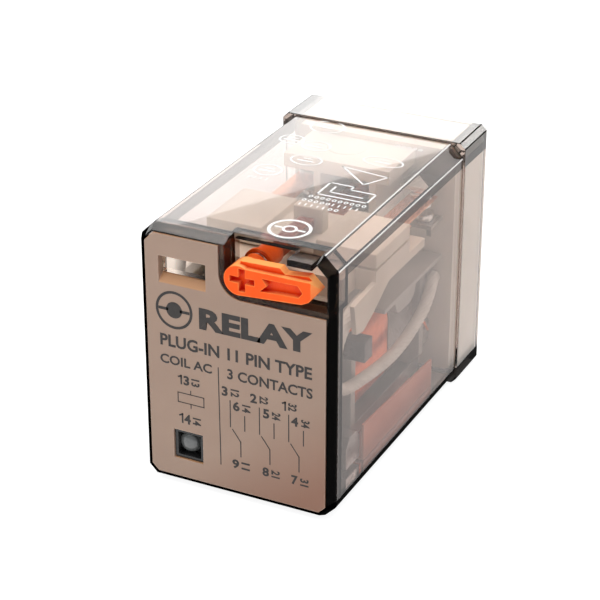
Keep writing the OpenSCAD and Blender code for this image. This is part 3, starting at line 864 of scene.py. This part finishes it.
emblem = Print(on_label)
emblem.ring(-6.42, 19.1, 1.98, 1.98, 0.27)
emblem.ring(-6.42, 19.1, 0.85, 0.85, 0)
emblem.line([(-7.95, 19.1), (-7.2, 19.1)], 0.3)
emblem.line([(-5.64, 19.1), (-4.9, 19.1)], 0.3)
emblem.done("printed_ring_mark", "label_ink")

rows = Print(on_label)
rows.text("PLUG-IN 11 PIN TYPE", -8.03, 8.03, 15.1, 16.4, bold=0.026)
rows.text("COIL AC", -8.1, -2.5, 13.2, 14.2, bold=0.022)
rows.text("3 CONTACTS", -0.85, 8.1, 13.1, 14.2, bold=0.022)
rows.done("printed_type_rows", "label_ink")

diagram = Print(on_label)
diagram.line([(-1.81, 14.05), (-1.72, 3.48)], 0.1)
for stroke in (  # the coil's sign
    [(-6.27, 10.34), (-3.45, 10.34)], [(-6.27, 9.3), (-3.45, 9.3)],
    [(-6.27, 10.34), (-6.27, 9.3)], [(-3.45, 10.34), (-3.45, 9.3)],
    [(-4.87, 10.34), (-4.87, 10.75)], [(-4.87, 9.3), (-4.87, 8.87)],
):
    diagram.line(stroke, 0.09)
for left in (-0.6, 2.52, 5.61):  # the three changeover contacts
    diagram.line([(left, 10.78), (left, 7.93)], 0.1)
    diagram.line([(left + 0.22, 7.7), (left + 1.08, 6.5)], 0.1)
    diagram.line([(left + 1.08, 6.5), (left + 1.08, 4.87)], 0.1)
    diagram.line([(left + 1.54, 9.45), (left + 1.54, 7.85)], 0.1)
# The terminals' numbers, upright and turned. The plain ones are drawn as strokes
for right, low, high in ((-5.87, 11.27, 12.3), (-5.85, 7.0, 8.08), (5.25, 11.17, 12.16)):
    diagram.one(right, low, high, 0.17)
for words, left, right, low, high in (
    ("3", -5.62, -5.0, 11.27, 12.3), ("4", -5.66, -4.95, 7.0, 8.08),
    ("3", -1.48, -0.84, 11.17, 12.2), ("2", 1.56, 2.26, 11.17, 12.16),
    ("6", -0.3, 0.42, 9.82, 10.85), ("5", 2.9, 3.57, 9.82, 10.84), ("4", 5.87, 6.6, 9.75, 10.75),
    ("9", -0.47, 0.27, 3.42, 4.42), ("8", 2.78, 3.48, 3.42, 4.4), ("7", 5.87, 6.55, 3.34, 4.34),
):
    diagram.text(words, left, right, low, high, bold=0.035)
for words, left, low in (
    ("13", -4.78, 11.35), ("14", -4.72, 7.1), ("12", -0.52, 11.3), ("22", 2.55, 11.3),
    ("32", 5.55, 11.3), ("14", 0.68, 9.9), ("24", 3.85, 9.9), ("34", 6.9, 9.85),
    ("11", 0.52, 3.5), ("21", 3.75, 3.5), ("31", 6.8, 3.4),
):
    diagram.text(words, left, left + 0.9, low, low + 0.8, bold=0.03, turn=True)
diagram.done("printed_contact_diagram", "label_ink")

top_ring = Print(on_top)
top_ring.ring(3.35, 4.9, 2.1, 2.1, 0.32)
top_ring.ring(3.35, 4.9, 0.75, 0.75, 0.28)
top_ring.line([(1.9, 4.9), (2.4, 4.9)], 0.3)
top_ring.line([(4.3, 4.9), (4.8, 4.9)], 0.3)
top_ring.done("printed_top_ring", "white_ink")

top_marks = Print(on_top)
for u, v, ru, rv in (
    (-4.4, 29.2, 1.9, 1.7), (-6.2, 24.6, 1.4, 1.2), (-3.2, 24.0, 1.6, 1.3), (-2.5, 20.3, 1.7, 1.3),
    (-4.8, 16.4, 1.5, 1.4), (4.6, 23.2, 2.2, 1.2),
):
    top_marks.ring(u, v, ru, rv, 0.19)
    top_marks.line([(u - 0.75, v - 0.2), (u + 0.75, v - 0.2)], 0.28)
    top_marks.line([(u - 0.4, v + 0.4), (u + 0.4, v + 0.4)], 0.2)
for stroke in (  # a triangle and a stepped outline
    [(1.5, 20.4), (6.6, 19.8)], [(6.6, 19.8), (5.2, 17.2)], [(5.2, 17.2), (1.5, 20.4)],
    [(2.1, 16.3), (4.6, 16.3)], [(2.1, 16.3), (2.1, 13.3)], [(2.1, 13.3), (7.3, 13.3)],
    [(7.3, 13.3), (7.3, 15.5)], [(4.6, 16.3), (4.6, 15.5)], [(4.6, 15.5), (7.3, 15.5)],
    [(3.0, 15.5), (3.0, 14.2)], [(3.0, 14.2), (6.4, 14.2)],
):
    top_marks.line(stroke, 0.2)
for v, start, end in (  # rows of small rings and bars, which spell nothing
    (12.5, 1.6, 7.4), (11.5, 1.4, 7.3), (10.5, 1.5, 5.6), (14.2, -5.8, -3.6), (27.7, 4.0, 6.8),
):
    u = start
    while u < end:
        if int(u * 10) % 3:
            top_marks.ring(u + 0.2, v, 0.22, 0.3, 0.12, 12)
        else:
            top_marks.line([(u + 0.1, v - 0.22), (u + 0.1, v + 0.22)], 0.13)
        u += 0.62
top_marks.done("printed_top_marks", "white_ink")


# ---------------------------------------------------------------- floor, light and camera

floor_mesh = bpy.data.meshes.new("floor")
reach, level = 1.5, -MIDDLE * MM
floor_mesh.from_pydata(
    [(x, y, level) for x, y in (
        (-reach, -reach), (reach, -reach), (reach, reach), (-reach, reach)
    )], [], [(0, 1, 2, 3)],
)
floor = bpy.data.objects.new("floor", floor_mesh)
bpy.context.scene.collection.objects.link(floor)
floor_mesh.materials.append(
    solid("floor", (0.3, 0.3, 0.3), (0.32, 0.32, 0.32), 0.6, size=40, grain=1, bump=0.05)
)
# Most of the floor's light is its own, so that it stays as white as the photo's
floor_nodes = floor_mesh.materials[0].node_tree.nodes
white_floor = next(n for n in floor_nodes if n.type == "BSDF_PRINCIPLED")
white_floor.inputs["Emission Color"].default_value = (1, 1, 1, 1)
white_floor.inputs["Emission Strength"].default_value = 0.9

world = bpy.data.worlds.new("studio")
bpy.context.scene.world = world
world.use_nodes = True
sky = world.node_tree.nodes["Background"]
sky.inputs["Color"].default_value = (0.95, 0.97, 1, 1)
sky.inputs["Strength"].default_value = 0.4


def softbox(name, place, aim, size, power):
    """A rectangular lamp that the camera doesn't see."""
    light = bpy.data.lights.new(name, "AREA")
    light.shape = "RECTANGLE"
    light.size, light.size_y = size
    light.energy = power
    lamp = bpy.data.objects.new(name, light)
    bpy.context.scene.collection.objects.link(lamp)
    lamp.location = place
    lamp.rotation_mode = "QUATERNION"
    lamp.rotation_quaternion = (Vector(place) - Vector(aim)).to_track_quat("Z", "Y")
    lamp.visible_camera = False
    return lamp


softbox("overhead", (0.0, 0.05, 0.45), (0, -0.01, 0), (0.5, 0.5), 2.0)
softbox("front_left", (-0.032, -0.088, 0.052), (-0.004, -0.037, 0.004), (0.03, 0.03), 0.009)
softbox("right", (0.16, 0.02, 0.12), (0.008, -0.02, 0), (0.05, 0.05), 0.02)
softbox("behind_right", (0.17, 0.31, 0.165), (0.0095, -0.02, 0.013), (0.1, 0.1), 0.12)
# The bright panel that the cover's top mirrors, level and turned to the relay
glare = softbox("behind", (-0.157, 0.233, 0.1207), (-0.157, 0.233, 0), (0.12, 0.2), 0.24)
glare.rotation_quaternion = Quaternion((0, 0, 1), math.radians(61.3 - 90))

# The camera that the corners of the photo's outline gave
camera = bpy.data.objects.new("camera", bpy.data.cameras.new("camera"))
bpy.context.scene.collection.objects.link(camera)
bpy.context.scene.camera = camera
camera.data.sensor_width = 36
camera.data.lens = 119.1
camera.data.clip_start = 0.01
place, aim = Vector((77.82, -180.61, 90.08)) * MM, Vector((-1.22, -20.41, 0.16)) * MM
camera.location = place
camera.rotation_mode = "QUATERNION"
camera.rotation_quaternion = (place - aim).to_track_quat("Z", "Y")
bpy.context.scene.view_settings.view_transform = "Standard"

bpy.context.view_layer.update()
